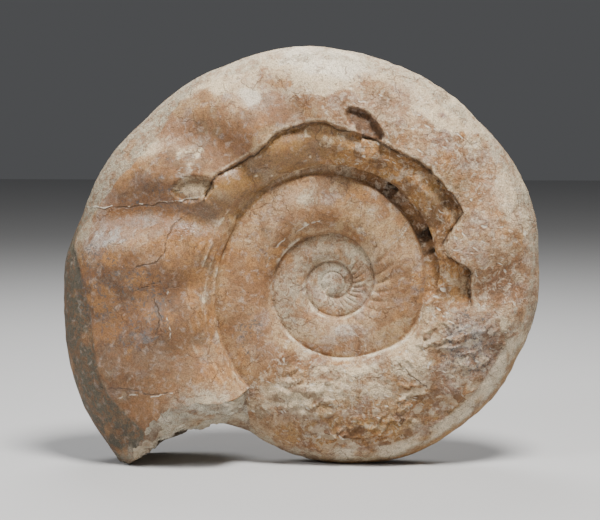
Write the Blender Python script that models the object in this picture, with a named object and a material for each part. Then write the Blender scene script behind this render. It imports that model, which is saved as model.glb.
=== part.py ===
"""A fossil ammonite standing on its edge, its last chamber broken open at the lower left.

Metres, +Z up. The plane of coiling is XZ and the better preserved side faces -Y. The solid is one
spiral loft: rings of a whorl section are placed along the coil, and where a whorl lies on the one
before it, the two share a row of points, the seam. Angles are in degrees, anticlockwise from +X
as seen from -Y, and grow without wrapping from the first whorl to the broken mouth.
"""

import math

import bmesh
import bpy
import numpy as np

# The coil: (angle, radius from the centre of coiling) of the seam and of the outer edge, the venter.
SEAM = [
    (-900, 0.0048),
    (-540, 0.0104),
    (-360, 0.0175),
    (-180, 0.0255),
    (0, 0.0375),
    (90, 0.0470),
    (180, 0.0565),
    (270, 0.0675),
    (300, 0.0735),
    (325, 0.0830),
    (360, 0.0862),
    (450, 0.1030),
    (540, 0.1080),
    (591, 0.1225),
]
VENTER = [
    (-900, 0.0280),
    (-540, 0.0480),
    (-180, 0.0845),
    (180, 0.1470),
    (240, 0.1620),
    (280, 0.1745),
    (330, 0.1850),
    (390, 0.2003),
    (420, 0.2065),
    (450, 0.2185),
    (510, 0.2415),
    (540, 0.2561),
    (560, 0.2650),
    (580, 0.2680),
]
TURN = 360
HALF_BREADTH = 0.220  # of the venter's radius at the same angle
SHOULDER = 0.30  # where a whorl is thickest, as a share of its height
SECTION_POWER = 2.2
SECTION_ROUNDING = 0.53
WALL_ROUNDING = 0.60

# The loft's rings and rows.
RINGS_PER_TURN = 48
RING_STEP = TURN / RINGS_PER_TURN
MOUTH_SEAM = 591.0  # where the last seam ends at the broken mouth
FIRST_RING = MOUTH_SEAM - TURN - 104 * RING_STEP
INNER_ROWS = 7  # from a seam to the next one
OUTER_ROWS = 8  # from the next seam's place to the venter
INNER_ROW_POWER = 1.25  # draws the rows together towards the seam
OUTER_ROW_POWER = 1.8  # draws them together towards the venter

# The broken mouth: (share of the way from seam to venter, angle) on the front and on the back.
BREAK_FRONT = [
    (0.0, 591.0),
    (0.10, 589.5),
    (0.28, 581.5),
    (0.50, 577.0),
    (0.80, 580.0),
    (0.93, 581.6),
    (1.0, 581.0),
]
BREAK_BACK = [(0.0, 591.0), (0.15, 590.5), (0.40, 588.0), (0.60, 584.5), (0.85, 582.8), (1.0, 581.0)]
UNDER_BREAK_AT_VENTER = 240.7  # where the broken whorl's floor leaves the whorl inside it
# The arched break between the two flanks: (radius, angle).
BREAK_MIDDLE = [
    (0.1225, 591.0),
    (0.150, 589.0),
    (0.170, 587.5),
    (0.191, 585.0),
    (0.213, 583.7),
    (0.236, 582.9),
    (0.254, 582.1),
    (0.268, 581.0),
]
MOUTH_ROWS = 8
EDGE_HOLD = 4  # how quickly the break leaves the line of the flanks
FLOOR_HOLD = 14  # and how late it bends to meet the whorl below

# The knob at the centre of coiling: its rise above the first seam, and its place above the centre.
KNOB_RISE = 1.12
KNOB_ABOVE_CENTRE = 0.004

# Relief on the last whorl.
RIB_HOLLOWS = [276, 304, 333, 363, 399, 434, 464, 491, 517, 548, 572]
RIB_DEPTH = 0.0075
WEAK_RIB_DEPTH = 0.0025
LAST_WEAK_RIB = 340
RIB_HALF_WIDTH = 9.0

# The front of the last whorl has lost a crescent of its outer layer next to the seam.
CRESCENT_EDGE = [
    (382, 0.1300),
    (400, 0.1385),
    (440, 0.1410),
    (452, 0.1500),
    (472, 0.1480),
    (480, 0.1410),
    (508, 0.1400),
]
CRESCENT_DEPTH = 0.0060
CRESCENT_FADE = 6.0
CRESCENT_LIP = 0.004

# Hollows flaked out of the front: name, angle, radius, half length, half width, depth, tilt of the
# long axis above +X.
FLAKES = [
    ("top", 438.6, 0.1520, 0.0205, 0.0095, 0.0060, -43),
    ("upper_left", 505.6, 0.1590, 0.0180, 0.0115, 0.0080, 10),
    ("right", 362.5, 0.1150, 0.0170, 0.0120, 0.0075, 80),
]
FLOOR_SNAP = 1e-5
FLAKE_SEGMENTS = 20
FLAKE_RINGS = 10

FLOOR_BELOW_CENTRE = 0.1700  # the fossil is worn flat here, at the foot of the coil and of the mouth
STONE_COLOUR = (0.34, 0.24, 0.15, 1.0)
STONE_ROUGHNESS = 0.55


def through(points, x):
    """A smooth curve through hand-placed (x, value) points, level beyond both ends."""
    places, values = np.array(points, float).T
    slopes = np.gradient(values, places)
    x = np.clip(x, places[0], places[-1])
    i = np.clip(np.searchsorted(places, x) - 1, 0, len(places) - 2)
    width = places[i + 1] - places[i]
    t = (x - places[i]) / width
    start = (1 + 2 * t) * (1 - t) ** 2 * values[i] + t * (1 - t) ** 2 * width * slopes[i]
    return start + t * t * (3 - 2 * t) * values[i + 1] + t * t * (t - 1) * width * slopes[i + 1]


def smooth_step(x):
    x = np.clip(x, 0, 1)
    return x * x * (3 - 2 * x)


def seam_radius(angle):
    return through(SEAM, angle)


def venter_radius(angle):
    return through(VENTER, angle)


def next_seam_share(angle):
    """How far up a whorl's side the next whorl's seam lies, from 0 at its own seam to 1 at its venter."""
    height = venter_radius(angle) - seam_radius(angle)
    return (seam_radius(angle + TURN) - seam_radius(angle)) / height


def flank(share):
    """The section's half thickness outside the shoulder, as a share of the half breadth."""
    past = np.clip((share - SHOULDER) / (1 - SHOULDER), 0, 1)
    return (1 - past**SECTION_POWER) ** SECTION_ROUNDING


def section(angle, share):
    """(radius, half thickness) of the whorl at an angle, at a share of the way from seam to venter."""
    half = HALF_BREADTH * venter_radius(angle)
    before = angle - TURN
    sunk = HALF_BREADTH * venter_radius(before) * flank(next_seam_share(before)) / half
    rise = np.sin(np.clip(share / SHOULDER, 0, 1) * math.pi / 2) ** WALL_ROUNDING
    thickness = half * np.where(share < SHOULDER, sunk + (1 - sunk) * rise, flank(share))
    radius = seam_radius(angle) + share * (venter_radius(angle) - seam_radius(angle))
    return radius, thickness


def rib_relief(angle, share):
    depth = 0
    for hollow in RIB_HOLLOWS:
        strength = WEAK_RIB_DEPTH if hollow < LAST_WEAK_RIB else RIB_DEPTH
        depth = depth - strength * np.exp(-(((angle - hollow) / RIB_HALF_WIDTH) ** 2))
    return depth * smooth_step(share / 0.2) * (1 - 0.75 * smooth_step((share - 0.6) / 0.35))


def crescent_relief(angle, radius):
    edge = through(CRESCENT_EDGE, angle)
    inside = smooth_step((edge - radius) / CRESCENT_LIP + 0.5)
    start, end = CRESCENT_EDGE[0][0], CRESCENT_EDGE[-1][0]
    along = smooth_step((angle - start) / CRESCENT_FADE) * smooth_step((end - angle) / CRESCENT_FADE)
    return -CRESCENT_DEPTH * inside * along


def surface(angle, share, side):
    """World points before standing the shell up. side is -1 for the front and 1 for the back."""
    radius, thickness = section(angle, share)
    step = 1e-3
    r0, t0 = section(angle, np.clip(share - step, 0, 1))
    r1, t1 = section(angle, np.clip(share + step, 0, 1))
    run, climb = r1 - r0, t1 - t0
    length = np.hypot(run, climb)
    last_whorl = (angle >= MOUTH_SEAM - TURN - 1e-6) * 1.0
    relief = last_whorl * rib_relief(angle, share)
    if side < 0:
        relief = relief + last_whorl * crescent_relief(angle, radius)
    radius = radius - relief * climb / length
    thickness = thickness + relief * run / length
    turned = np.radians(angle)
    return np.stack([radius * np.cos(turned), side * thickness, radius * np.sin(turned)], axis=-1)


def outer_shares():
    """Row positions from the next seam's place to the venter, closer together where the section turns."""
    t = np.linspace(0, 1, OUTER_ROWS + 1)[1:]
    return 1 - (1 - t) ** OUTER_ROW_POWER


def build_shell():
    """Returns (points, faces) of the closed solid."""
    points = []
    faces = []

    def add(point):
        points.append(tuple(float(value) for value in point))
        return len(points) - 1

    ring_count = int(round((MOUTH_SEAM - FIRST_RING) / RING_STEP))
    floor_ring = ring_count - RINGS_PER_TURN
    rings = {-1: [], 1: []}
    for side, break_line in ((-1, BREAK_FRONT), (1, BREAK_BACK)):
        for i in range(ring_count + 1):
            ring_angle = FIRST_RING + i * RING_STEP
            shares = np.linspace(0, 1, INNER_ROWS + 1) ** INNER_ROW_POWER * next_seam_share(ring_angle)
            angles = np.full(INNER_ROWS + 1, ring_angle)
            if i >= floor_ring:
                middle = shares[-1]
                outer = middle + (1 - middle) * outer_shares()
                along = (i - floor_ring) / RINGS_PER_TURN
                shares = np.concatenate([shares, outer])
                first = np.full(len(shares), MOUTH_SEAM - TURN)
                spread = smooth_step((outer - middle) / (1 - middle))
                first[INNER_ROWS + 1 :] += spread * (UNDER_BREAK_AT_VENTER + TURN - MOUTH_SEAM)
                last = through(break_line, shares)
                angles = first + (last - first) * along
            ring = []
            for j, place in enumerate(surface(angles, shares, side)):
                if j == 0 and i >= RINGS_PER_TURN:
                    ring.append(rings[side][i - RINGS_PER_TURN][INNER_ROWS])
                elif side == 1 and i >= floor_ring and j == len(shares) - 1:
                    ring.append(rings[-1][i][-1])
                else:
                    ring.append(add(place))
            rings[side].append(ring)

    def quad(a, b, c, d, side):
        corners = (a, b, c, d) if side < 0 else (d, c, b, a)
        faces.append(corners)

    for side in (-1, 1):
        for i in range(ring_count):
            here, there = rings[side][i], rings[side][i + 1]
            for j in range(min(len(here), len(there)) - 1):
                quad(here[j], here[j + 1], there[j + 1], there[j], side)
        first_turn = [rings[side][i][0] for i in range(RINGS_PER_TURN)]
        loop = first_turn + rings[side][0][:0:-1]
        knob = add((0.0, side * abs(points[loop[0]][1]) * KNOB_RISE, KNOB_ABOVE_CENTRE))
        for here, there in zip(loop, loop[1:] + loop[:1]):
            faces.append((here, there, knob) if side < 0 else (there, here, knob))

    close_mouth(points, faces, add, rings, floor_ring)
    return points, faces


def along_line(indices, points):
    """Each point's place along the line, from 0 to 1."""
    line = np.array([points[index] for index in indices])
    lengths = np.linalg.norm(np.diff(line, axis=0), axis=1)
    places = np.concatenate([[0], np.cumsum(lengths)])
    return line, places / places[-1]


def polar(line):
    """Radius, Y and unwrapped angle of each point near the mouth."""
    angle = np.degrees(np.arctan2(line[:, 2], line[:, 0])) % TURN + TURN
    return np.stack([np.hypot(line[:, 0], line[:, 2]), line[:, 1], angle], axis=1)


def close_mouth(points, faces, add, rings, floor_ring):
    """The rough face of the break, from the whorl's edge to the whorl that it once lay on."""
    edge = rings[-1][-1] + rings[1][-1][-2::-1]
    floor = rings[-1][floor_ring][INNER_ROWS:] + rings[1][floor_ring][-2:INNER_ROWS - 1:-1]
    edge_line, edge_places = along_line(edge, points)
    floor_line, floor_places = along_line(floor, points)
    start = polar(edge_line)
    floor_polar = polar(floor_line)
    end = np.stack([np.interp(edge_places, floor_places, column) for column in floor_polar.T], axis=1)
    rows = [edge]
    for k in range(1, MOUTH_ROWS):
        part = k / MOUTH_ROWS
        radius, y, _ = (start * (1 - part) + end * part).T
        angle = through(BREAK_MIDDLE, radius)
        angle += (start[:, 2] - angle) * (1 - part) ** EDGE_HOLD
        angle += (end[:, 2] - angle) * part**FLOOR_HOLD
        turned = np.radians(angle)
        places = np.stack([radius * np.cos(turned), y, radius * np.sin(turned)], axis=1)
        rows.append([edge[0]] + [add(place) for place in places[1:-1]] + [edge[-1]])
    for upper, lower in zip(rows, rows[1:]):
        for j in range(len(edge) - 1):
            corners = [upper[j], upper[j + 1], lower[j + 1], lower[j]]
            faces.append(tuple(dict.fromkeys(corners)))
    join_lines(faces, rows[-1], floor, edge_places, floor_places)


def join_lines(faces, upper, lower, upper_places, lower_places):
    """Triangles between two lines that share both ends but not their number of points."""
    i = j = 0
    while i < len(upper) - 1 or j < len(lower) - 1:
        step_upper = j == len(lower) - 1 or (
            i < len(upper) - 1 and upper_places[i + 1] <= lower_places[j + 1]
        )
        if step_upper:
            corners = (upper[i], upper[i + 1], lower[j])
            i += 1
        else:
            corners = (upper[i], lower[j + 1], lower[j])
            j += 1
        if len(set(corners)) == 3:
            faces.append(corners)


def floor_shift(points):
    """The move that centres the shell's box on the Z axis and puts its worn underside at Z = 0."""
    low, high = points.min(axis=0), points.max(axis=0)
    return np.array([-(low[0] + high[0]) / 2, -(low[1] + high[1]) / 2, FLOOR_BELOW_CENTRE])


def wear_flat(mesh):
    """Cuts the shell off at Z = 0, which leaves the two flat patches that it stands on."""
    shape = bmesh.new()
    shape.from_mesh(mesh)
    bmesh.ops.triangulate(shape, faces=shape.faces)
    everything = shape.verts[:] + shape.edges[:] + shape.faces[:]
    bmesh.ops.bisect_plane(
        shape, geom=everything, dist=FLOOR_SNAP, plane_co=(0, 0, 0), plane_no=(0, 0, 1), clear_inner=True
    )
    rim = [edge for edge in shape.edges if edge.is_boundary]
    bmesh.ops.holes_fill(shape, edges=rim)
    bmesh.ops.triangulate(shape, faces=shape.faces)
    shape.to_mesh(mesh)
    shape.free()


def cut_flakes(fossil, shift):
    for name, angle, radius, half_length, half_width, depth, tilt in FLAKES:
        share = (radius - seam_radius(angle)) / (venter_radius(angle) - seam_radius(angle))
        place = surface(np.array([angle]), np.array([share]), -1)[0] + shift
        bpy.ops.mesh.primitive_uv_sphere_add(
            segments=FLAKE_SEGMENTS, ring_count=FLAKE_RINGS, radius=1, location=place
        )
        cutter = bpy.context.object
        cutter.name = "cutter_" + name
        cutter.scale = (half_length, depth, half_width)
        cutter.rotation_euler = (0, -math.radians(tilt), 0)
        cutter.hide_render = True
        cut = fossil.modifiers.new("flake_" + name, "BOOLEAN")
        cut.operation = "DIFFERENCE"
        cut.solver = "EXACT"
        cut.object = cutter


def stone_material():
    material = bpy.data.materials.new("fossil_stone")
    material.use_nodes = True
    shader = material.node_tree.nodes["Principled BSDF"]
    shader.inputs["Base Color"].default_value = STONE_COLOUR
    shader.inputs["Roughness"].default_value = STONE_ROUGHNESS
    shader.inputs["Metallic"].default_value = 0.0
    return material


def main():
    for obj in list(bpy.data.objects):
        bpy.data.objects.remove(obj, do_unlink=True)
    points, faces = build_shell()
    places = np.array(points)
    shift = floor_shift(places)
    mesh = bpy.data.meshes.new("ammonite_fossil")
    mesh.from_pydata([tuple(place) for place in places + shift], [], faces)
    mesh.materials.append(stone_material())
    fossil = bpy.data.objects.new("ammonite_fossil", mesh)
    bpy.context.collection.objects.link(fossil)
    wear_flat(mesh)
    cut_flakes(fossil, shift)


main()
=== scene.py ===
"""Looks of the fossil ammonite: one fine mesh that stands for the plain CAD solid, its stone, and the set.

The mesh is the CAD's spiral loft again, about 2 mm between points, with the relief that the CAD leaves
out. Angles are in degrees, anticlockwise from +X as seen from the front (-Y), and grow without
wrapping from the first whorl to the broken mouth. Lengths are metres. "share" is the way across a
whorl's side, from 0 at its seam to 1 at its outer edge, the venter.
"""

import math

import bpy
import numpy as np
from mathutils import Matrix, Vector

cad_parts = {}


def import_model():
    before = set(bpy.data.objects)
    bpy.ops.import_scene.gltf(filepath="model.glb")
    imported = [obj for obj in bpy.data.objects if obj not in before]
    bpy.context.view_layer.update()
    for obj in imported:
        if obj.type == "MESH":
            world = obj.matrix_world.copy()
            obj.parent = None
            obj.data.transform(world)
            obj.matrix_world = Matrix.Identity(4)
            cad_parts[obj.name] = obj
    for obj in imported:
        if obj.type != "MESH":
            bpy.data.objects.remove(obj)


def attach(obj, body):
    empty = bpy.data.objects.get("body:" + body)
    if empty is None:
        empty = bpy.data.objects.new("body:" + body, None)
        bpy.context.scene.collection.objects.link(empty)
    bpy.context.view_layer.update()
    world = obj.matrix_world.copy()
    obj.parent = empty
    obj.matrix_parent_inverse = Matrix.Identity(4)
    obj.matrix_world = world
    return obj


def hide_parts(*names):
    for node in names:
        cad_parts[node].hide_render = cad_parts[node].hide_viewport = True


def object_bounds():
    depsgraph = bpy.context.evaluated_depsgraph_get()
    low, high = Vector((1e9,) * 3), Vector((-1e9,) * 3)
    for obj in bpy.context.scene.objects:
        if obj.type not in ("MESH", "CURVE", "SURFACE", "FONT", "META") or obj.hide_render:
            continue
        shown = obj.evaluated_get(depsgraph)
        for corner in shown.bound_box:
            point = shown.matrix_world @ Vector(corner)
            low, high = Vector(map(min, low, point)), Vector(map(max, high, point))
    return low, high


TURN = 360

# ---------------------------------------------------------------- the coil, as in part.py

SEAM = [
    (-900, 0.0048),
    (-540, 0.0104),
    (-360, 0.0175),
    (-180, 0.0255),
    (0, 0.0375),
    (90, 0.0470),
    (180, 0.0565),
    (270, 0.0675),
    (300, 0.0735),
    (325, 0.0830),
    (360, 0.0862),
    (450, 0.1030),
    (540, 0.1080),
    (591, 0.1225),
]
VENTER = [
    (-900, 0.0280),
    (-540, 0.0480),
    (-180, 0.0845),
    (180, 0.1470),
    (240, 0.1620),
    (280, 0.1745),
    (330, 0.1850),
    (390, 0.2003),
    (420, 0.2065),
    (450, 0.2185),
    (510, 0.2415),
    (540, 0.2561),
    (560, 0.2650),
    (580, 0.2680),
]
HALF_BREADTH = 0.220
SHOULDER = 0.30
SECTION_POWER = 2.2
SECTION_ROUNDING = 0.53
WALL_ROUNDING = 0.60
MOUTH_SEAM = 591.0
UNDER_BREAK_AT_VENTER = 240.7
FLOOR_BELOW_CENTRE = 0.1700
BREAK_FRONT = [
    (0.0, 591.0),
    (0.10, 589.5),
    (0.28, 581.5),
    (0.50, 577.0),
    (0.80, 580.0),
    (0.93, 581.6),
    (1.0, 581.0),
]
BREAK_BACK = [
    (0.0, 591.0),
    (0.15, 590.5),
    (0.40, 588.0),
    (0.60, 584.5),
    (0.85, 582.8),
    (1.0, 581.0),
]
BREAK_MIDDLE = [
    (0.1225, 591.0),
    (0.150, 589.0),
    (0.170, 587.5),
    (0.191, 585.0),
    (0.213, 583.7),
    (0.236, 582.9),
    (0.254, 582.1),
    (0.268, 581.0),
]
EDGE_HOLD = 4
FLOOR_HOLD = 14

# ---------------------------------------------------------------- the fine mesh

RINGS_PER_TURN = 720
TURNS_BEFORE_LAST = 3
# Rows on the front (-1) and on the back (1): from a seam to the next, and from there to the venter.
ROWS = {-1: (32, 86), 1: (16, 18)}
INNER_ROW_POWER = 1.2
OUTER_ROW_POWER = 1.45
# The front's rows close up on the lost crescent's edge: how strongly, and over which share.
EDGE_ROW_PULL = 0.55
EDGE_ROW_REACH = 0.07
MOUTH_ROWS = 50

# ---------------------------------------------------------------- relief

# The broad ribs' hollows half way across the side: (angle, depth, half width in degrees).
RIB_HOLLOWS = [
    (276, 0.0016, 7),
    (304, 0.0022, 8),
    (333, 0.0028, 8),
    (358, 0.0085, 9),
    (396, 0.0055, 9),
    (434, 0.0060, 8),
    (464, 0.0065, 8),
    (490, 0.0090, 7.5),
    (517, 0.0115, 7),
    (546, 0.0070, 8),
    (569, 0.0045, 7),
]
RIB_LEAN = 16  # degrees that a rib leans towards the mouth from seam to venter

FINE_RIB_STEP = 12
FINE_RIB_LEAN = 30
FINE_RIB_DEPTH = 0.026  # of the whorl's height

# The lost crescent of outer layer on the front of the last whorl: (angle, radius of its outer edge).
CRESCENT_EDGE = [
    (349, 0.1290),
    (355, 0.1278),
    (361, 0.1270),
    (366, 0.1278),
    (369, 0.1240),
    (372, 0.1150),
    (385, 0.1200),
    (388, 0.1320),
    (399, 0.1384),
    (409, 0.1400),
    (423, 0.1382),
    (440, 0.1421),
    (447, 0.1457),
    (453, 0.1504),
    (462, 0.1507),
    (470, 0.1486),
    (478, 0.1417),
    (488, 0.1427),
    (499, 0.1474),
    (508, 0.1400),
]
CRESCENT_DEPTH = [
    (349, 0.0030),
    (358, 0.0075),
    (366, 0.0100),
    (380, 0.0090),
    (400, 0.0085),
    (430, 0.0066),
    (460, 0.0050),
    (490, 0.0040),
    (508, 0.0025),
]
CRESCENT_FADE = 4.0
CRESCENT_LIP = 0.0019
# The open crack between the exposed mould and the inner whorl: (angle, depth).
CREVICE = [
    (352, 0.0003),
    (366, 0.0020),
    (380, 0.0045),
    (390, 0.0060),
    (405, 0.0045),
    (420, 0.0060),
    (445, 0.0035),
    (465, 0.0012),
    (500, 0.0005),
    (512, 0.0003),
]
CREVICE_HALF_WIDTH = 0.0022
SEAM_GROOVE = 0.0007
SEAM_GROOVE_HALF_WIDTH = 0.0014
# Where the crevice is open to the dark behind it: (angle, half length in degrees).
CREVICE_GAPS = [(419, 3.0), (388.5, 4.0), (379.0, 1.6)]
GAP_DEPTH = 0.005

# The rounded knob at the centre of coiling.
KNOB_RADIUS = 0.0112
KNOB_HEIGHT = 0.0042
KNOB_FOOT = 0.0068

# Hollows flaked out of the front: angle, radius, half length, half width, depth, tilt of the long
# axis above +X, direction of the steep wall.
FLAKES = [
    (438.6, 0.1520, 0.0225, 0.0100, 0.0085, -43, 40),
    (504.7, 0.1556, 0.0205, 0.0120, 0.0080, 8, 70),
]

# The front's outer layer ends short of the venter: (angle, share where it ends).
CRUST_END = [
    (460, 1.05),
    (478, 0.975),
    (491, 0.905),
    (504, 0.805),
    (513, 0.835),
    (522, 0.890),
    (531, 0.950),
    (535, 0.885),
    (542, 0.820),
    (552, 0.785),
    (563, 0.775),
    (572, 0.730),
    (582, 0.650),
]
CRUST_THICKNESS = 0.0014
CRUST_LIP = 0.0022

LEDGE_HEIGHT = 0.0029
LEDGES_APART = 0.0135
SEAM_RIDGE_HEIGHT = 0.00055
CALCITE_HEIGHT = 0.0008
MOULD_ROUGHNESS = 0.0010
BREAK_CHIPS = 0.0056

# Lines on the front as (x, z) from the centre of coiling. Dark cracks, then pale calcite veins.
CRACKS = [
    [(-0.228, 0.0690), (-0.192, 0.0720), (-0.175, 0.0740), (-0.145, 0.0770), (-0.124, 0.0800)],
    [
        (-0.178, 0.0180),
        (-0.160, 0.0220),
        (-0.153, 0.0300),
        (-0.150, 0.0450),
        (-0.144, 0.0580),
        (-0.131, 0.0660),
    ],
    [(-0.180, -0.0030), (-0.166, 0.0010), (-0.158, 0.0050)],
    [(-0.205, -0.0940), (-0.178, -0.0960), (-0.165, -0.1000), (-0.150, -0.0975)],
    [(-0.1620, -0.0130), (-0.1560, -0.0300), (-0.1620, -0.0440)],
    [(0.0640, -0.0700), (0.0720, -0.0820), (0.0860, -0.0920)],
]
VEINS = [
    [(-0.2280, 0.0705), (-0.1920, 0.0735), (-0.1750, 0.0755), (-0.1450, 0.0785), (-0.1240, 0.0815)],
    [(-0.0600, 0.0190), (-0.0550, 0.0320), (-0.0410, 0.0460), (-0.0310, 0.0520), (-0.0140, 0.0605)],
    [(-0.1960, -0.1040), (-0.1780, -0.0995), (-0.1650, -0.1020), (-0.1450, -0.0965)],
    [(-0.0780, -0.0970), (-0.0775, -0.1130)],
    [(-0.1500, -0.0050), (-0.1515, -0.0200), (-0.1480, -0.0440)],
    [(-0.0600, -0.0910), (-0.0780, -0.0955)],
]

# ---------------------------------------------------------------- minerals and where they lie

MINERALS = {
    "tan": (0.440, 0.285, 0.140),
    "orange": (0.430, 0.205, 0.064),
    "rust": (0.250, 0.110, 0.040),
    "ochre": (0.360, 0.190, 0.055),
    "pink": (0.600, 0.410, 0.270),
    "lilac": (0.350, 0.250, 0.200),
    "cream": (0.760, 0.620, 0.410),
    "white": (0.840, 0.760, 0.600),
    "brown": (0.130, 0.070, 0.036),
    "red": (0.120, 0.045, 0.018),
    "grey": (0.430, 0.375, 0.270),
    # Darker than the bare grey-green rock: it also holds painted shade where the venter turns down and
    # away.
    "green_grey_and_shade": (0.082, 0.072, 0.048),
    # A pale grey mineral, also laid as a painted sheen on the left bulge.
    "pearl_and_sheen": (0.500, 0.470, 0.430),
    "blue_grey": (0.150, 0.145, 0.145),
    "rock": (0.530, 0.480, 0.370),
}

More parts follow.
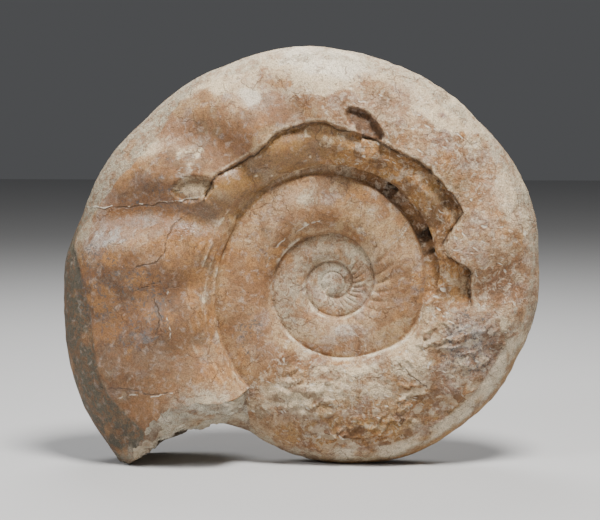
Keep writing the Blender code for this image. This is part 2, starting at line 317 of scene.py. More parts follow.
# Stains on the front: mineral, x and z from the centre of coiling, half width and half height in
# millimetres, tilt, strength.
STAINS = [
    # The left of the last whorl: deep orange brown, dark valleys that are partly dirt and partly painted
    # shade, and a pale polished bulge whose grey, cream and pearl stains are a painted sheen.
    ("orange", -175, -35, 75, 100, 0, 0.85),
    ("rust", -180, -30, 60, 40, 0, 0.50),
    ("rust", -185, -20, 60, 50, 0, 0.75),
    ("rust", -215, 0, 30, 50, 0, 0.60),
    ("brown", -195, -15, 40, 22, 0, 0.55),
    ("brown", -190, -20, 30, 40, 0, 0.50),
    ("rust", -150, -30, 30, 70, 0, 0.45),
    ("blue_grey", -150, 75, 30, 8, 5, 0.60),
    ("blue_grey", -190, -30, 20, 12, 0, 0.60),
    # Partly painted shade: rust and brown in the dark valley above the bulge.
    ("rust", -165, 92, 65, 24, 14, 0.95),
    ("brown", -172, 84, 52, 12, 8, 0.85),
    ("orange", -196, 104, 24, 12, 30, 0.80),
    ("orange", -150, 72, 45, 8, 5, 0.60),
    # Painted sheen on the bulge: the grey, cream and pearl stains of the next lines.
    ("grey", -185, 50, 48, 13, 10, 0.60),
    ("rust", -150, 58, 26, 10, 20, 0.55),
    ("cream", -176, 44, 30, 8, 20, 0.60),
    ("pearl_and_sheen", -196, 52, 40, 11, 14, 0.90),
    ("pearl_and_sheen", -218, 40, 16, 14, 20, 0.70),
    ("lilac", -200, 62, 35, 6, 10, 0.60),
    ("pink", -160, 28, 26, 16, 0, 0.50),
    ("lilac", -222, 35, 12, 22, 15, 0.60),
    ("brown", -215, -12, 22, 18, 0, 0.60),
    ("orange", -190, -28, 45, 22, 0, 0.80),
    ("brown", -222, -22, 12, 12, 0, 0.60),
    ("orange", -225, -34, 9, 12, 0, 0.70),
    ("brown", -165, -6, 20, 8, 20, 0.55),
    ("rust", -150, 5, 18, 40, 0, 0.50),
    ("pink", -180, -70, 52, 14, 0, 0.55),
    ("lilac", -218, -62, 14, 10, 0, 0.60),
    ("orange", -215, -88, 16, 12, 10, 0.80),
    ("rust", -190, -112, 50, 26, -20, 0.75),
    ("orange", -180, -112, 44, 20, -10, 0.60),
    ("rust", -160, -92, 40, 6, -5, 0.60),
    ("brown", -185, -128, 24, 10, -25, 0.50),
    ("rust", -205, -135, 16, 20, -50, 0.60),
    ("rock", -124, -112, 32, 18, 14, 0.85),
    ("cream", -120, -98, 26, 12, 10, 0.55),
    ("orange", -105, -88, 10, 10, 0, 0.50),
    # Above: pale crest, brightened in part as painted top light; brown hollow beside it, partly painted
    # shade; pink flank.
    # Partly painted light: the crest's cream and white are laid strongly where the top light falls.
    ("cream", -30, 199, 125, 26, 5, 1.00),
    ("white", -8, 205, 50, 14, -8, 0.80),
    ("white", -75, 172, 11, 8, -25, 0.95),
    ("pink", -155, 138, 34, 14, 35, 0.80),
    ("cream", -165, 128, 18, 10, 30, 0.60),
    # Partly painted shade: brown and rust in the hollow between ribs.
    ("brown", -112, 150, 26, 13, 32, 0.70),
    ("rust", -85, 142, 34, 16, 25, 0.60),
    ("lilac", -58, 162, 24, 10, 20, 0.60),
    ("orange", -48, 186, 12, 10, 0, 0.60),
    ("pink", 30, 162, 40, 14, -10, 0.70),
    ("orange", 32, 186, 20, 8, -15, 0.60),
    # The right: cream and pink with lilac films, a brown hollow, a purple-grey rough patch.
    ("cream", 110, 158, 70, 28, -42, 0.95),
    ("orange", 100, 120, 30, 12, -40, 0.50),
    ("lilac", 70, 178, 22, 10, -20, 0.60),
    ("lilac", 116, 122, 34, 12, -45, 0.75),
    ("orange", 158, 118, 12, 18, -50, 0.65),
    ("pink", 150, 70, 28, 36, 10, 0.70),
    ("cream", 170, 78, 20, 36, 15, 0.80),
    ("rust", 158, 12, 36, 15, 10, 0.80),
    ("lilac", 168, -4, 26, 12, 10, 0.80),
    ("brown", 160, 4, 30, 8, 12, 0.50),
    ("cream", 165, -32, 20, 12, -5, 0.50),
    ("lilac", 128, -58, 30, 40, -12, 0.90),
    ("pearl_and_sheen", 122, -55, 22, 30, -10, 0.60),
    ("brown", 118, -62, 10, 24, -10, 0.35),
    ("blue_grey", 135, -45, 16, 18, -10, 0.35),
    ("cream", 92, -35, 14, 26, -20, 0.60),
    ("orange", 88, -110, 30, 14, 30, 0.60),
    # Below: ochre, with cream towards the inner whorl.
    ("ochre", 10, -140, 85, 24, 5, 0.90),
    ("orange", 20, -150, 80, 14, 3, 0.70),
    ("rust", -20, -160, 50, 10, -8, 0.60),
    ("ochre", 108, -128, 50, 14, 38, 0.70),
    ("cream", 15, -94, 60, 14, 6, 0.75),
    ("cream", 68, -64, 26, 18, 35, 0.65),
    ("orange", 40, -112, 34, 10, 5, 0.55),
    ("cream", -48, -100, 26, 12, 0, 0.70),
    ("orange", -60, -118, 12, 12, 0, 0.50),
    # The inner whorls.
    ("rust", -85, -38, 18, 30, 20, 0.70),
    ("lilac", -55, -60, 22, 10, -40, 0.60),
    ("white", -70, -60, 10, 14, 20, 0.45),
    ("orange", -90, 28, 20, 30, -25, 0.65),
    ("orange", -48, 28, 8, 34, -25, 0.70),
    ("lilac", -45, 72, 26, 12, 25, 0.55),
    ("grey", -3, 80, 24, 14, 0, 0.80),
    ("grey", 40, 64, 12, 9, 0, 0.70),
    ("orange", 2, 63, 20, 8, 0, 0.80),
    ("rust", 30, 50, 14, 12, -30, 0.55),
    ("rust", 66, 50, 14, 22, -35, 0.60),
    ("orange", 65, 10, 18, 30, -10, 0.55),
    ("grey", -40, -15, 14, 32, 10, 0.60),
    ("cream", 12, -78, 36, 7, 4, 0.85),
    ("lilac", 12, -58, 30, 10, 0, 0.75),
    ("cream", 62, -20, 14, 18, 20, 0.50),
    ("grey", 22, 5, 16, 28, 0, 0.50),
    ("white", 0, 0, 14, 14, 0, 0.80),
    ("cream", 26, 24, 14, 11, -30, 0.75),
    ("pearl_and_sheen", 16, -46, 20, 9, 5, 0.80),
    ("orange", -69, 53, 16, 16, 30, 0.60),
    ("grey", -20, 92, 12, 6, 0, 0.60),
    ("pearl_and_sheen", 45, 82, 12, 8, -20, 0.60),
    ("grey", 190, 65, 12, 70, 12, 0.60),
    ("rust", -80, -15, 26, 60, 0, 0.75),
    ("rust", 50, 66, 14, 8, -35, 0.50),
    ("rust", -10, -66, 40, 8, 8, 0.50),
    ("orange", 20, 86, 16, 7, -10, 0.60),
    ("brown", -55, 45, 10, 16, -40, 0.40),
]

# Where small dark flecks gather, mostly on the left: x, z, half width, half height.
FLECKS = [
    (-0.185, -0.020, 0.045, 0.045),
    (-0.155, 0.080, 0.040, 0.012),
    (-0.200, -0.045, 0.020, 0.008),
    (-0.214, 0.020, 0.022, 0.020),
    (-0.228, -0.010, 0.010, 0.040),
    (-0.075, -0.045, 0.012, 0.020),
    (0.125, -0.050, 0.026, 0.036),
]


# ---------------------------------------------------------------- curves and noise


NOISE_CELLS = 32


def through(points, x):
    """A smooth curve through listed (x, value) points, level beyond both ends."""
    places, values = np.array(points, float).T
    slopes = np.gradient(values, places)
    x = np.clip(x, places[0], places[-1])
    i = np.clip(np.searchsorted(places, x) - 1, 0, len(places) - 2)
    width = places[i + 1] - places[i]
    t = (x - places[i]) / width
    start = (1 + 2 * t) * (1 - t) ** 2 * values[i] + t * (1 - t) ** 2 * width * slopes[i]
    return start + t * t * (3 - 2 * t) * values[i + 1] + t * t * (t - 1) * width * slopes[i + 1]


def smooth_step(x):
    x = np.clip(x, 0, 1)
    return x * x * (3 - 2 * x)


def noise(places, size, seed):
    """Smooth random values from -1 to 1, with bumps about size apart."""
    table = np.random.default_rng(seed).uniform(-1, 1, NOISE_CELLS**3)
    cell = places / size + 100.5
    low = np.floor(cell).astype(int)
    x, y, z = smooth_step(cell - low).T
    x0, y0, z0 = (low % NOISE_CELLS).T
    x1, y1, z1 = ((low + 1) % NOISE_CELLS).T
    corners = ((x0, y0, (1 - x) * (1 - y)), (x1, y0, x * (1 - y)), (x0, y1, (1 - x) * y), (x1, y1, x * y))
    total = 0
    for i, j, wide in corners:
        start = (i * NOISE_CELLS + j) * NOISE_CELLS
        total = total + wide * (table[start + z0] * (1 - z) + table[start + z1] * z)
    return total


def rough_noise(places, size, seed, octaves=3):
    total = 0
    for octave in range(octaves):
        total = total + noise(places, size / 2**octave, seed + octave) / 2**octave
    return total


# ---------------------------------------------------------------- the coil's surface


def seam_radius(angle):
    return through(SEAM, angle)


def venter_radius(angle):
    return through(VENTER, angle)


def whorl_height(angle):
    return venter_radius(angle) - seam_radius(angle)


def next_seam_share(angle):
    return (seam_radius(angle + TURN) - seam_radius(angle)) / whorl_height(angle)


def flank(share):
    past = np.clip((share - SHOULDER) / (1 - SHOULDER), 0, 1)
    return (1 - past**SECTION_POWER) ** SECTION_ROUNDING


def section(angle, share):
    """(radius, half thickness) of the whorl at an angle and a share."""
    half = HALF_BREADTH * venter_radius(angle)
    before = angle - TURN
    sunk = HALF_BREADTH * venter_radius(before) * flank(next_seam_share(before)) / half
    rise = np.sin(np.clip(share / SHOULDER, 0, 1) * math.pi / 2) ** WALL_ROUNDING
    thickness = half * np.where(share < SHOULDER, sunk + (1 - sunk) * rise, flank(share))
    return seam_radius(angle) + share * whorl_height(angle), thickness


def on_last_whorl(angle):
    return angle >= MOUTH_SEAM - TURN - 1e-6


def broad_ribs(angle, share):
    depth = 0
    straight = angle - RIB_LEAN * (share - 0.5)
    for hollow, strength, half_width in RIB_HOLLOWS:
        depth = depth - strength * np.exp(-(((straight - hollow) / half_width) ** 2))
    return depth * smooth_step(share / 0.15) * (1 - 0.75 * smooth_step((share - 0.65) / 0.33))


def fine_ribs(angle, share):
    """Short soft grooves across the inner half of the inner whorls, worn away on their left side."""
    phase = (angle - FINE_RIB_LEAN * share) / FINE_RIB_STEP
    groove = np.exp(-(((phase - np.round(phase)) / 0.20) ** 2))
    right_side = 0.5 + 0.5 * np.cos(np.radians(angle - 10))
    worn = 0.12 + 0.88 * right_side**1.5
    across = smooth_step(share / 0.07) * (1 - smooth_step((share - 0.12) / 0.22))
    kept = smooth_step((200 - angle) / 60) * smooth_step((angle + 620) / 80)
    fading = 1 - 0.45 * smooth_step((angle + 200) / 80)
    return -FINE_RIB_DEPTH * whorl_height(angle) * groove * worn * across * kept * fading


def crescent_edge(angle):
    return through(CRESCENT_EDGE, angle)


def within_crescent(angle):
    start, end = CRESCENT_EDGE[0][0], CRESCENT_EDGE[-1][0]
    return smooth_step((angle - start) / (2 * CRESCENT_FADE)) * smooth_step((end - angle) / CRESCENT_FADE)


def smooth_tongue(angle):
    """1 on the left part of the crescent, where the mould is smooth, 0 on the chiselled part."""
    return smooth_step((angle - 446) / 14)


def edge_wobble(places, angle):
    amount = 0.0018 * noise(places, 0.009, 21) + 0.0012 * noise(places, 0.0035, 22)
    return amount * (1 - 0.35 * smooth_tongue(angle))


def lost_crescent(places, angle, radius):
    """1 where the crescent of outer layer is lost, 0 where it remains."""
    inside = (crescent_edge(angle) + edge_wobble(places, angle) - radius) / CRESCENT_LIP + 0.5
    return smooth_step(inside) * within_crescent(angle)


def flakes(places, angle):
    """(depth, inside, wall) of the flaked hollows: how deep, 1 within, 1 at the foot of each steep wall,
    where painted shadow is laid.
    """
    x, z = places[:, 0], places[:, 2]
    ragged = 0.0020 * noise(places, 0.006, 24) + 0.0012 * noise(places, 0.003, 25)
    depth, inside, wall = (np.zeros(np.shape(angle)) for _ in range(3))
    for at, out, half_length, half_width, deepest, tilt, steep in FLAKES:
        centre, along, to_wall = math.radians(at), math.radians(tilt), math.radians(steep)
        dx, dz = x - out * math.cos(centre), z - out * math.sin(centre)
        u = (dx * math.cos(along) + dz * math.sin(along)) / half_length
        v = (dz * math.cos(along) - dx * math.sin(along) + ragged) / half_width
        toward = (dx * math.cos(to_wall) + dz * math.sin(to_wall)) / half_width
        near = np.abs(angle - at) < 60
        within = smooth_step((1 - u * u - v * v) / 0.26) * near
        depth += deepest * within * np.clip(0.72 + 0.22 * toward, 0.40, 1)
        inside = np.maximum(inside, within)
        edge = smooth_step((1.25 - u * u - v * v) / 0.4) * smooth_step(toward * 2 - 0.3)
        wall = np.maximum(wall, edge * near)
    return depth, inside, wall


def crust_lost(places, angle, share):
    """1 on the bare band along the venter, where the outer layer has gone, 0 on the layer."""
    ragged = 0.010 * noise(places, 0.010, 11) + 0.008 * noise(places, 0.004, 12)
    lip = (share - through(CRUST_END, angle) + ragged) * whorl_height(angle) / CRUST_LIP
    return smooth_step(lip + 0.5) * smooth_step((angle - 462) / 20)


def crevice_depth(angle):
    within = (angle > CREVICE[0][0]) & (angle < CREVICE[-1][0])
    return np.where(within, through(CREVICE, angle), 0)


def seam_crack(angle, share):
    """Depth of the groove along both of a whorl's seams."""
    own = share * whorl_height(angle)
    upper = (next_seam_share(angle) - share) * whorl_height(angle)
    depth = 0
    for distance, at in ((own, angle), (upper, angle + TURN)):
        crevice = crevice_depth(at)
        width = np.where(crevice > 0.002, CREVICE_HALF_WIDTH, SEAM_GROOVE_HALF_WIDTH)
        shown = (at < MOUTH_SEAM) & (distance > -1e-6) & (at > -440)
        depth = depth + shown * (SEAM_GROOVE + crevice) * np.exp(-((distance / width) ** 2))
    return depth * np.where(on_last_whorl(angle) & (share > 0.6), 0, 1)


def black_gaps(angle, distance):
    """1 at the few places where the crevice runs on out of sight under the mould."""
    across = np.exp(-(((distance - 0.0014) / 0.0016) ** 2))
    gap = 0
    for at, half_length in CREVICE_GAPS:
        gap = gap + np.exp(-(((angle - at) / half_length) ** 2)) * across
    return gap


def right_part(angle):
    """1 on the right and the top of the last whorl, fading out towards its polished left side."""
    return on_last_whorl(angle) * smooth_step((470 - angle) / 40)


def lower_part(angle):
    """1 on the lower part of the last whorl, where calcite has grown in ledges."""
    return on_last_whorl(angle) * smooth_step((352 - angle) / 14) * smooth_step((angle - 236) / 10)


def shingle(places):
    """0 to 1 over ragged, wandering ledges, each highest at its lip and broken in places."""
    row = (places[:, 2] - 0.25 * places[:, 0]) / LEDGES_APART
    row = row + 1.10 * rough_noise(places, 0.030, 45, 4) + 0.22 * noise(places, 0.0042, 46)
    fallen = row - np.floor(row)
    kept = smooth_step(noise(places, 0.015, 49) * 1.6 + 0.45)
    return (1 - fallen) ** 1.5 * smooth_step(fallen / 0.10) * kept


def seam_ridges(places, share):
    """From -1 to 1 over the ridges that run along the umbilical shoulder near the mouth."""
    return np.sin(share * 150 + 2.5 * noise(places, 0.03, 48))


def calcite_places(places):
    return smooth_step(noise(places, 0.010, 108) * 1.6 + 0.75)


def calcite_line(places, angle, share, side):
    """1 on the thin broken calcite lines that stand up along the seams, mostly at their left and below."""
    from_seam = share * whorl_height(angle)
    line = np.exp(-(((from_seam - 0.0016) / 0.0012) ** 2))
    broken = calcite_places(places) * smooth_step(noise(places, 0.004, 107) * 1.5 + 1.2)
    outer_seam = smooth_step((angle - 100) / 30) * smooth_step((348 - angle) / 20)
    inner_seam = smooth_step((60 - angle) / 60) * smooth_step((angle + 430) / 60)
    upper_right = (0.5 + 0.5 * np.cos(np.radians(angle - 50))) ** 2
    tongue_seam = smooth_step((angle - 432) / 14)
    lines = line * (outer_seam + inner_seam * (1 - 0.7 * upper_right) + tongue_seam * (side < 0))
    apart = 0.0115 + 0.0010 * np.sin(np.radians(angle * 9)) + 0.0012 * noise(places, 0.02, 56)
    second = np.exp(-(((from_seam - apart) / 0.0009) ** 2)) * smooth_step((angle - 497) / 12)
    return broken * (lines + second * (side < 0) * (noise(places, 0.007, 57) > -0.1))


def front_relief(places, angle, share, radius, lost):
    """What stands out or is lost on the front of the last whorl."""
    across = (crescent_edge(angle) - radius) / (crescent_edge(angle) - seam_radius(angle))
    tube = np.sin(np.clip(across, 0, 1) * math.pi)
    relief = -lost * through(CRESCENT_DEPTH, angle) * (1.25 - 0.55 * tube)
    relief = relief + lost * (1 - smooth_tongue(angle)) * MOULD_ROUGHNESS * rough_noise(places, 0.010, 31)
    relief = relief - flakes(places, angle)[0]
    relief = relief - GAP_DEPTH * black_gaps(angle, radius - seam_radius(angle))
    relief = relief - CRUST_THICKNESS * crust_lost(places, angle, share)
    ledges = lower_part(angle) * smooth_step((0.90 - share) / 0.10) * smooth_step((share - 0.05) / 0.1)
    relief = relief + ledges * (LEDGE_HEIGHT * (shingle(places) - 0.3) + 0.0010 * noise(places, 0.013, 50))
    shoulder = smooth_step((0.19 - share) / 0.08) * smooth_step((angle - 512) / 12)
    broken = smooth_step(noise(places, 0.012, 47) * 1.5 + 0.5)
    return relief + SEAM_RIDGE_HEIGHT * shoulder * broken * seam_ridges(places, share)


def relief_of(places, angle, share, radius, side):
    """How far the stone stands out from the plain section."""
    last = on_last_whorl(angle)
    relief = last * broad_ribs(angle, share) + fine_ribs(angle, share) - seam_crack(angle, share)
    worn = np.ones(np.shape(angle))
    if side < 0:
        lost = last * lost_crescent(places, angle, radius)
        relief = relief + last * front_relief(places, angle, share, radius, lost)
        worn = 1 - 0.85 * lost * smooth_tongue(angle)
    right = right_part(angle)
    relief = relief + worn * 0.0014 * noise(places, 0.045, 41) + worn * 0.0007 * noise(places, 0.016, 42)
    relief = relief + worn * (0.00022 + 0.00035 * right) * noise(places, 0.0065, 43)
    relief = relief + CALCITE_HEIGHT * calcite_line(places, angle, share, side)
    return relief + right * worn * 0.00025 * noise(places, 0.0030, 44)


def surface(angle, share, side):
    """Points on one side, before standing the fossil up."""
    radius, thickness = section(angle, share)
    step = 1e-3
    r0, t0 = section(angle, np.clip(share - step, 0, 1))
    r1, t1 = section(angle, np.clip(share + step, 0, 1))
    run, climb = r1 - r0, t1 - t0
    length = np.hypot(run, climb)
    turned = np.radians(angle)
    places = np.stack([radius * np.cos(turned), side * thickness, radius * np.sin(turned)], axis=-1)
    relief = relief_of(places, angle, share, radius, side)
    centre = smooth_step((KNOB_RADIUS + 0.0006 - radius) / 0.0012)
    dome = KNOB_FOOT + KNOB_HEIGHT * np.sqrt(np.clip(1 - (radius / KNOB_RADIUS) ** 2, 0, 1))
    radius = radius - relief * climb / length * (1 - centre)
    thickness = thickness + relief * run / length
    thickness = thickness * (1 - centre) + dome * centre
    return np.stack([radius * np.cos(turned), side * thickness, radius * np.sin(turned)], axis=-1)


# ---------------------------------------------------------------- building the mesh


class Shell:
    """Points, and faces between samples. A sample is a point with the angle, share and side of a face."""

    def __init__(self):
        self.points = []
        self.samples = []
        self.faces = []
        self.point_count = 0
        self.sample_count = 0

    def add_points(self, places):
        start = self.point_count
        self.points.append(np.asarray(places, float))
        self.point_count += len(places)
        return np.arange(start, self.point_count)

    def add_samples(self, indices, angles, shares, side):
        start = self.sample_count
        values = np.broadcast_arrays(indices, angles, shares, float(side))
        self.samples.append(np.stack([value.ravel() for value in values], axis=1))
        self.sample_count += values[0].size
        return np.arange(start, self.sample_count).reshape(values[0].shape)

    def grid(self, samples, flipped=False):
        """Faces over a grid of samples."""
        quads = np.stack([samples[:-1, :-1], samples[:-1, 1:], samples[1:, 1:], samples[1:, :-1]], axis=-1)
        quads = quads.reshape(-1, 4)
        self.faces.append(quads[:, ::-1] if flipped else quads)

    def all_points(self):
        return np.concatenate(self.points)


def outer_shares(rows):
    t = np.linspace(0, 1, rows + 1)[1:]
    return 1 - (1 - t) ** OUTER_ROW_POWER


def side_grids(side):
    """(angles, shares) of the inner rows on every ring, and of the outer rows on the last turn's rings."""
    inner_rows, outer_rows = ROWS[side]
    step = TURN / RINGS_PER_TURN
    ring_count = (TURNS_BEFORE_LAST + 1) * RINGS_PER_TURN
    ring_angles = MOUTH_SEAM - step * np.arange(ring_count, -1, -1)
    rows = np.linspace(0, 1, inner_rows + 1) ** INNER_ROW_POWER
    inner_shares = rows * next_seam_share(ring_angles)[:, None]
    inner_angles = np.repeat(ring_angles[:, None], inner_rows + 1, axis=1)
    floor = ring_count - RINGS_PER_TURN
    middle = inner_shares[floor:, -1:]
    outward = outer_shares(outer_rows)[None, :]
    outer = middle + (1 - middle) * outward
    if side < 0:
        at = ring_angles[floor:, None]
        edge = (crescent_edge(at) - seam_radius(at)) / whorl_height(at)
        off = outer - edge
        pull = EDGE_ROW_PULL * within_crescent(at) * np.exp(-((off / EDGE_ROW_REACH) ** 2))
        outer = outer - off * pull * (outward < 0.99)
    along = (np.arange(RINGS_PER_TURN + 1) / RINGS_PER_TURN)[:, None]
    first = MOUTH_SEAM - TURN + smooth_step(outward) * (UNDER_BREAK_AT_VENTER + TURN - MOUTH_SEAM)
    line = BREAK_FRONT if side < 0 else BREAK_BACK
    chipped = 0.45 * np.sin(outer * 37) + 0.30 * np.sin(outer * 83 + side) + 0.2 * np.sin(outer * 190)
    chipped = chipped * smooth_step(outward * 4) * smooth_step((1 - outward) * 6)
    last = through(line, outer) + chipped
    outer_angles = first + (last - first) * along
    start = inner_angles[floor].copy()
    inner_angles[floor:] = start + (through(line, inner_shares[floor:]) - start) * along
    return inner_angles, inner_shares, outer_angles, outer


def build_side(shell, side, venter=None):
    """Adds one side. Returns its inner and outer grids of point indices."""
    inner_angles, inner_shares, outer_angles, outer = side_grids(side)
    rings, rows = inner_angles.shape
    places = surface(inner_angles.ravel(), inner_shares.ravel(), side).reshape(rings, rows, 3)
    inner = np.empty((rings, rows), int)
    inner[:RINGS_PER_TURN] = shell.add_points(places[:RINGS_PER_TURN].reshape(-1, 3)).reshape(-1, rows)
    later = places[RINGS_PER_TURN:, 1:].reshape(-1, 3)
    inner[RINGS_PER_TURN:, 1:] = shell.add_points(later).reshape(-1, rows - 1)
    for ring in range(RINGS_PER_TURN, rings):
        inner[ring, 0] = inner[ring - RINGS_PER_TURN, -1]
    samples = shell.add_samples(inner, inner_angles, inner_shares, side)
    shell.grid(samples, flipped=side > 0)

    loop = np.concatenate([samples[:RINGS_PER_TURN, 0], samples[0, :0:-1]])
    knob = shell.add_points([[0.0, side * (KNOB_FOOT + KNOB_HEIGHT), 0.0]])
    knob = shell.add_samples(knob, inner_angles[0, 0], 0.0, side)
    fan = np.stack([loop, np.roll(loop, -1), np.full(len(loop), knob[0])], axis=1)
    shell.faces.append(fan[:, ::-1] if side > 0 else fan)

    places = surface(outer_angles.ravel(), outer.ravel(), side).reshape(outer_angles.shape + (3,))
    if venter is None:
        places[:, -1, 1] = 0
        fresh = shell.add_points(places.reshape(-1, 3)).reshape(outer_angles.shape)
    else:
        fresh = shell.add_points(places[:, :-1].reshape(-1, 3)).reshape(len(places), -1)
        fresh = np.concatenate([fresh, venter[:, None]], axis=1)
    floor = rings - 1 - RINGS_PER_TURN
    indices = np.concatenate([inner[floor:, -1:], fresh], axis=1)
    angles = np.concatenate([inner_angles[floor:, -1:], outer_angles], axis=1)
    shares = np.concatenate([inner_shares[floor:, -1:], outer], axis=1)
    shell.grid(shell.add_samples(indices, angles, shares, side), flipped=side > 0)
    return inner, indices


def along_line(line):
    lengths = np.linalg.norm(np.diff(line, axis=0), axis=1)
    places = np.concatenate([[0], np.cumsum(lengths)])
    return places / places[-1]


def polar(line):
    angle = np.degrees(np.arctan2(line[:, 2], line[:, 0])) % TURN + TURN
    return np.stack([np.hypot(line[:, 0], line[:, 2]), line[:, 1], angle], axis=1)


def chipped_face(radius, y, part):
    """Relief of the broken face: flat-faced chips of several sizes."""
    places = np.stack([radius, y, np.full(len(radius), part * 0.05)], axis=1)
    big, small = noise(places, 0.028, 51) * 2.2, noise(places, 0.012, 52) * 2.0
    flat = np.round(big) * 0.7 + np.round(small) * 0.35
    return flat + 0.5 * big / 2.2 + 0.35 * rough_noise(places, 0.010, 53)


def close_mouth(shell, front, back):
    """The rough face of the break, from the whorl's edge to the whorl that it once lay on."""
    (front_inner, front_outer), (back_inner, back_outer) = front, back
    edge = np.concatenate(
        [front_inner[-1], front_outer[-1, 1:], back_outer[-1, -2::-1], back_inner[-1, -2::-1]]
    )
    floor = np.concatenate([front_outer[0], back_outer[0, -2::-1]])
    points = shell.all_points()
    edge_places, floor_places = along_line(points[edge]), along_line(points[floor])
    start, under = polar(points[edge]), polar(points[floor])
    end = np.stack([np.interp(edge_places, floor_places, column) for column in under.T], axis=1)
    columns = np.arange(len(edge)) / len(edge)
    rows = [shell.add_samples(edge, columns, 0.0, 0)]
    for k in range(1, MOUTH_ROWS):
        part = k / MOUTH_ROWS
        radius, y, _ = (start * (1 - part) + end * part).T
        angle = through(BREAK_MIDDLE, radius)
        angle = angle + (start[:, 2] - angle) * (1 - part) ** EDGE_HOLD
        angle = angle + (end[:, 2] - angle) * part**FLOOR_HOLD
        hold = smooth_step(part * 6) * smooth_step((1 - part) * 5)
        hold = hold * smooth_step(edge_places * 8) * smooth_step((1 - edge_places) * 8)
        angle = angle + np.degrees(BREAK_CHIPS * chipped_face(radius, y, part) * hold / radius)
        turned = np.radians(angle)
        places = np.stack([radius * np.cos(turned), y, radius * np.sin(turned)], axis=1)
        indices = np.concatenate([edge[:1], shell.add_points(places[1:-1]), edge[-1:]])
        rows.append(shell.add_samples(indices, columns, part, 0))
    for upper, lower in zip(rows, rows[1:]):
        shell.grid(np.stack([upper[1:-1], lower[1:-1]]))
        shell.faces.append(np.array([[upper[0], upper[1], lower[1]], [upper[-2], upper[-1], lower[-2]]]))
    last = shell.add_samples(floor, floor_places, 1.0, 0)
    last[0], last[-1] = rows[-1][0], rows[-1][-1]
    shell.faces.append(np.array(join_lines(rows[-1], last, edge_places, floor_places)))


def join_lines(upper, lower, upper_places, lower_places):
    """Triangles between two lines that share both ends but not their number of points."""
    triangles = []
    i = j = 0
    while i < len(upper) - 1 or j < len(lower) - 1:
        if j == len(lower) - 1 or (i < len(upper) - 1 and upper_places[i + 1] <= lower_places[j + 1]):
            triangle = (upper[i], upper[i + 1], lower[j])
            i += 1
        else:
            triangle = (upper[i], lower[j + 1], lower[j])
            j += 1
        if len(set(triangle)) == 3:
            triangles.append(triangle)
    return triangles


# ---------------------------------------------------------------- where the minerals lie


def oval(x, z, cx, cz, half_width, half_height, tilt=0):
    """1 in the middle of an oval, fading to 0 a little outside it."""
    turn = math.radians(tilt)
    dx, dz = x - cx, z - cz
    u = (dx * math.cos(turn) + dz * math.sin(turn)) / half_width
    v = (dz * math.cos(turn) - dx * math.sin(turn)) / half_height
    return 1 - smooth_step((np.sqrt(u * u + v * v) - 0.55) / 0.75)


def signed_distance(x, z, lines):
    """Distance to the nearest line, negative on its right, and 1 beside the line, 0 past its ends."""
    nearest = np.full(len(x), 1.0)
    present = np.zeros(len(x))
    for line in lines:
        for (x0, z0), (x1, z1) in zip(line, line[1:]):
            along = math.hypot(x1 - x0, z1 - z0)
            ux, uz = (x1 - x0) / along, (z1 - z0) / along
            run = (x - x0) * ux + (z - z0) * uz
            across = (z - z0) * ux - (x - x0) * uz
            past = np.maximum(np.maximum(-run, run - along), 0)
            distance = np.hypot(across, past)
            closer = distance < np.abs(nearest)
            nearest = np.where(closer, np.where(across < 0, -distance, distance), nearest)
            present = np.where(closer, 1 - smooth_step(past / 0.004), present)
    return nearest, present


class Samples:
    """The samples that are painted, with the masks that several layers share."""

    def __init__(self, places, angle, share, side):
        self.places = places
        self.angle = angle
        self.share = share
        self.side = side
        self.x = places[:, 0]
        self.z = places[:, 2]
        self.radius = np.hypot(self.x, self.z)
        self.drifted_x = self.x + 0.006 * rough_noise(places, 0.030, 61)
        self.drifted_z = self.z + 0.006 * rough_noise(places, 0.030, 64)

        self.front = side < 0
        self.back = side > 0
        self.mouth = side == 0
        self.last = on_last_whorl(angle) & ~self.mouth
        self.inner = ~self.last & ~self.mouth
        self.last_front = self.last & self.front
        self.right = self.front * right_part(angle)
        self.lower = self.front * lower_part(angle)

        self.bare = self.last * crust_lost(places, angle, share)
        self.lost = self.last_front * lost_crescent(places, angle, self.radius)
        self.tongue = smooth_tongue(angle)
        _, inside, self.flake_wall_shadow = flakes(places, angle)
        self.flaked = inside * self.last_front

    def oval(self, *shape):
        return oval(self.x, self.z, *shape)

    def drifted_oval(self, *shape):
        return oval(self.drifted_x, self.drifted_z, *shape)


class Paint:
    """Lays minerals over one another at the samples."""

    def __init__(self, samples, base):
        self.places = samples.places
        self.colour = np.tile(MINERALS[base], (len(self.places), 1))
        self.ragged = {mineral: self.field(0.018, 100 + 10 * n, 4) for n, mineral in enumerate(MINERALS)}

    def field(self, size, seed, octaves=3):
        return rough_noise(self.places, size, seed, octaves)

    def lay(self, mineral, amount):
        amount = np.clip(amount, 0, 1)[:, None]
        self.colour = self.colour * (1 - amount) + np.array(MINERALS[mineral]) * amount

    def patches(self, mineral, amount, strength=0.8):
        """Lays a mineral in ragged patches, which join up as the amount nears 1."""
        covered = smooth_step((self.ragged[mineral] + 2.1 * np.clip(amount, 0, 1) - 1.25) / 0.26 + 0.5)
        self.lay(mineral, covered * strength)

    def stain(self, mineral, amount):
        """Part soft stain, part ragged patches."""
        self.lay(mineral, amount * 0.45)
        self.patches(mineral, amount * 0.95, 0.6)


